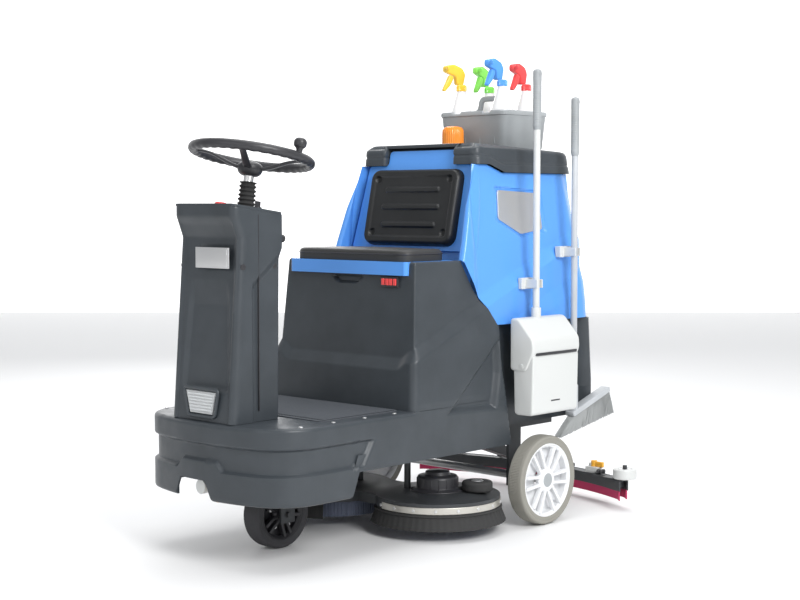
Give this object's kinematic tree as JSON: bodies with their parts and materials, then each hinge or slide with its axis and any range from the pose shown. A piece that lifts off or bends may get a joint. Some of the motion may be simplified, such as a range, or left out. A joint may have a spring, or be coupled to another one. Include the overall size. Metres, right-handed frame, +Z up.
{
  "type": "ride on scrubber",
  "caption": "Ride-on floor scrubber with steered front wheel, seat box, recovery tank, twin disc brush deck, curved squeegee and carried cleaning tools.",
  "frame": {"origin": "on the floor, under the centre of the machine's outline", "axes": "+X to the machine's left side, +Y to the rear, +Z up; the machine faces -Y"},
  "size_m": [0.92, 1.52, 1.4437],
  "materials": {
    "body_grey": "satin moulded",
    "tank_blue": "satin gloss moulded",
    "black_plastic": "satin",
    "mat_rubber": "matt ribbed",
    "tyre_grey": "textured",
    "tyre_black": "matt",
    "rim_silver": "satin",
    "frame_steel": "satin black",
    "zinc_steel": "galvanised",
    "bright_steel": "machined",
    "seat_vinyl": "grained black",
    "clear_lens": "clear ribbed",
    "amber_lens": "translucent",
    "light_grey": "satin",
    "bottle_white": "satin translucent",
    "yellow_plastic": "gloss",
    "green_plastic": "gloss",
    "blue_plastic": "gloss",
    "red_plastic": "gloss",
    "blade_red": "matt",
    "skirt_rubber": "matt",
    "bristle_grey": "bristle",
    "bristle_blue": "bristle",
    "valve_orange": "satin"
  },
  "bodies": {
    "chassis": {"chassis_frame": "frame_steel", "rear_axle": "bright_steel", "steering_chain": "bright_steel", "lower_body": "body_grey", "footplate_mat": "mat_rubber", "column_front_cover": "body_grey", "column_rear_cover": "body_grey", "dash_panel": "body_grey", "headlamp": "clear_lens", "column_boot": "skirt_rubber", "solution_valve": "light_grey", "battery_pack": "black_plastic", "recovery_tank": "tank_blue", "tank_front_panel": "tank_blue", "backrest_pad": "seat_vinyl", "vacuum_motor": "black_plastic", "pole_clips": "light_grey"},
    "steering": {"steering_wheel": "black_plastic", "steering_shaft": "bright_steel"},
    "spinner": {"spinner_knob": "black_plastic"},
    "lower_shaft": {"lower_steering_shaft": "bright_steel"},
    "fork": {"drive_fork": "frame_steel"},
    "front_wheel": {"front_tyre": "tyre_black", "front_rim": "black_plastic"},
    "left_wheel": {"left_rear_tyre": "tyre_grey", "left_rear_rim": "rim_silver"},
    "right_wheel": {"right_rear_tyre": "tyre_grey", "right_rear_rim": "rim_silver"},
    "pedal": {"accelerator_pedal": "black_plastic"},
    "key": {"key_switch": "black_plastic"},
    "stop": {"stop_button": "red_plastic"},
    "lever": {"direction_lever": "black_plastic"},
    "valve": {"valve_lever": "valve_orange"},
    "seat": {"seat_lid": "tank_blue", "seat_cushion": "seat_vinyl"},
    "lid": {"tank_lid": "body_grey", "beacon": "amber_lens"},
    "carrier": {"caddy": "light_grey", "spray_bottles": "bottle_white"},
    "broom": {"broom_handle": "bottle_white", "broom_bristles": "bristle_grey"},
    "dustpan": {"dustpan_hood": "light_grey"},
    "pan": {"dustpan_bin": "light_grey"},
    "deck": {"deck_plate": "frame_steel", "deck_band": "zinc_steel", "deck_skirts": "skirt_rubber", "brush_motors": "black_plastic"},
    "left_disc": {"left_brush": "bristle_blue"},
    "right_disc": {"right_brush": "bristle_blue"},
    "left_bumper": {"left_deck_roller": "skirt_rubber"},
    "right_bumper": {"right_deck_roller": "skirt_rubber"},
    "trailing_arm": {"squeegee_arm": "frame_steel"},
    "squeegee": {"squeegee_body": "frame_steel", "squeegee_blades": "blade_red"},
    "left_guide": {"left_squeegee_roller": "light_grey"},
    "right_guide": {"right_squeegee_roller": "light_grey"},
    "yellow_pull": {"yellow_trigger": "yellow_plastic"},
    "green_pull": {"green_trigger": "green_plastic"},
    "blue_pull": {"blue_trigger": "blue_plastic"},
    "red_pull": {"red_trigger": "red_plastic"}
  },
  "joints": [
    {"name": "steering_turn", "type": "hinge", "parent": "chassis", "child": "steering", "pos_m": [0, -0.557, 1.112], "axis": [0, 0.1908, 0.9816], "range_deg": [-60, 60]},
    {"name": "lower_shaft_turn", "type": "hinge", "parent": "chassis", "child": "lower_shaft", "pos_m": [0, -0.61765, 0.8], "axis": [0, 0, 1], "range_deg": [-60, 60]},
    {"name": "fork_steer", "type": "hinge", "parent": "chassis", "child": "fork", "pos_m": [0, -0.473, 0.262], "axis": [0, 0, 1], "range_deg": [-60, 60]},
    {"name": "knob_spin", "type": "hinge", "parent": "steering", "child": "spinner", "pos_m": [0.16198, -0.52907, 1.12124], "axis": [0, 0.1908, 0.9816], "continuous": true},
    {"name": "front_wheel_spin", "type": "hinge", "parent": "fork", "child": "front_wheel", "pos_m": [0, -0.473, 0.1], "axis": [1, 0, 0], "continuous": true},
    {"name": "left_wheel_spin", "type": "hinge", "parent": "chassis", "child": "left_wheel", "pos_m": [0.357, 0.296, 0.137], "axis": [1, 0, 0], "continuous": true},
    {"name": "right_wheel_spin", "type": "hinge", "parent": "chassis", "child": "right_wheel", "pos_m": [-0.357, 0.296, 0.137], "axis": [1, 0, 0], "continuous": true},
    {"name": "deck_lift", "type": "slide", "parent": "chassis", "child": "deck", "axis": [0, 0, 1], "range_m": [-0.033, 0.012]},
    {"name": "left_brush_spin", "type": "hinge", "parent": "deck", "child": "left_disc", "pos_m": [0.184, 0.014, 0.075], "axis": [0, 0, 1], "continuous": true},
    {"name": "right_brush_spin", "type": "hinge", "parent": "deck", "child": "right_disc", "pos_m": [-0.184, -0.071, 0.075], "axis": [0, 0, 1], "continuous": true},
    {"name": "left_bumper_spin", "type": "hinge", "parent": "deck", "child": "left_bumper", "pos_m": [0.29172, 0.07128, 0.132], "axis": [0, 0, 1], "continuous": true},
    {"name": "right_bumper_spin", "type": "hinge", "parent": "deck", "child": "right_bumper", "pos_m": [-0.29172, -0.01372, 0.132], "axis": [0, 0, 1], "continuous": true},
    {"name": "squeegee_lift", "type": "hinge", "parent": "chassis", "child": "trailing_arm", "pos_m": [0, 0.296, 0.238], "axis": [1, 0, 0], "range_deg": [-4, 5]},
    {"name": "squeegee_swing", "type": "hinge", "parent": "trailing_arm", "child": "squeegee", "pos_m": [0, 0.726, 0.102], "axis": [0, 0, 1], "range_deg": [-12, 12]},
    {"name": "left_guide_spin", "type": "hinge", "parent": "squeegee", "child": "left_guide", "pos_m": [0.422, 0.65114, 0.108], "axis": [0, 0, 1], "continuous": true},
    {"name": "right_guide_spin", "type": "hinge", "parent": "squeegee", "child": "right_guide", "pos_m": [-0.422, 0.65114, 0.108], "axis": [0, 0, 1], "continuous": true},
    {"name": "seat_open", "type": "hinge", "parent": "chassis", "child": "seat", "pos_m": [0, 0.014, 0.814], "axis": [-1, 0, 0], "range_deg": [0, 50]},
    {"name": "lid_open", "type": "hinge", "parent": "chassis", "child": "lid", "pos_m": [0, 0.62, 1.074], "axis": [-1, 0, 0], "range_deg": [0, 60]},
    {"name": "caddy_lift", "type": "slide", "parent": "lid", "child": "carrier", "axis": [0, 0, 1], "range_m": [0, 0.22]},
    {"name": "yellow_trigger_pull", "type": "hinge", "parent": "carrier", "child": "yellow_pull", "pos_m": [-0.09558, 0.40452, 1.39874], "axis": [0.9511, -0.309, 0], "range_deg": [0, 12], "stiffness_Nm_per_rad": 0.4, "springref_deg": -5.73},
    {"name": "blue_trigger_pull", "type": "hinge", "parent": "carrier", "child": "blue_pull", "pos_m": [0.086, 0.403, 1.40674], "axis": [1, 0, 0], "range_deg": [0, 12], "stiffness_Nm_per_rad": 0.4, "springref_deg": -5.73},
    {"name": "green_trigger_pull", "type": "hinge", "parent": "carrier", "child": "green_pull", "pos_m": [-0.06676, 0.52717, 1.39874], "axis": [0.9945, 0.1045, 0], "range_deg": [0, 12], "stiffness_Nm_per_rad": 0.4, "springref_deg": -5.73},
    {"name": "red_trigger_pull", "type": "hinge", "parent": "carrier", "child": "red_pull", "pos_m": [0.08816, 0.52708, 1.39874], "axis": [0.9976, 0.0698, 0], "range_deg": [0, 12], "stiffness_Nm_per_rad": 0.4, "springref_deg": -5.73},
    {"name": "pedal_press", "type": "hinge", "parent": "chassis", "child": "pedal", "pos_m": [-0.2, -0.377, 0.406], "axis": [1, 0, 0], "range_deg": [0, 14], "stiffness_Nm_per_rad": 4, "springref_deg": -8.59},
    {"name": "key_turn", "type": "hinge", "parent": "chassis", "child": "key", "pos_m": [0.078, -0.60784, 0.96257], "axis": [0, 0.1368, 0.9906], "range_deg": [-90, 0]},
    {"name": "stop_press", "type": "slide", "parent": "chassis", "child": "stop", "axis": [0, -0.1368, -0.9906], "range_m": [0, 0.004], "stiffness_N_per_m": 500, "springref_m": -0.002},
    {"name": "direction_tilt", "type": "hinge", "parent": "chassis", "child": "lever", "pos_m": [0.07, -0.556, 0.883], "axis": [1, 0, 0], "range_deg": [-8, 8]},
    {"name": "valve_turn", "type": "hinge", "parent": "chassis", "child": "valve", "pos_m": [0.031, -0.714, 0.208], "axis": [0, -1, 0], "range_deg": [0, 90]},
    {"name": "broom_pull", "type": "slide", "parent": "chassis", "child": "broom", "axis": [1, 0, 0], "range_m": [0, 0.12]},
    {"name": "dustpan_pull", "type": "slide", "parent": "chassis", "child": "dustpan", "axis": [1, 0, 0], "range_m": [0, 0.12]},
    {"name": "pan_swing", "type": "hinge", "parent": "dustpan", "child": "pan", "pos_m": [0.351, 0.3225, 0.49], "axis": [0, -1, 0], "range_deg": [0, 4]}
  ],
  "couplings": [
    {"joint": "lower_shaft_turn", "follows": "steering_turn", "ratio": 1},
    {"joint": "fork_steer", "follows": "steering_turn", "ratio": 1}
  ]
}
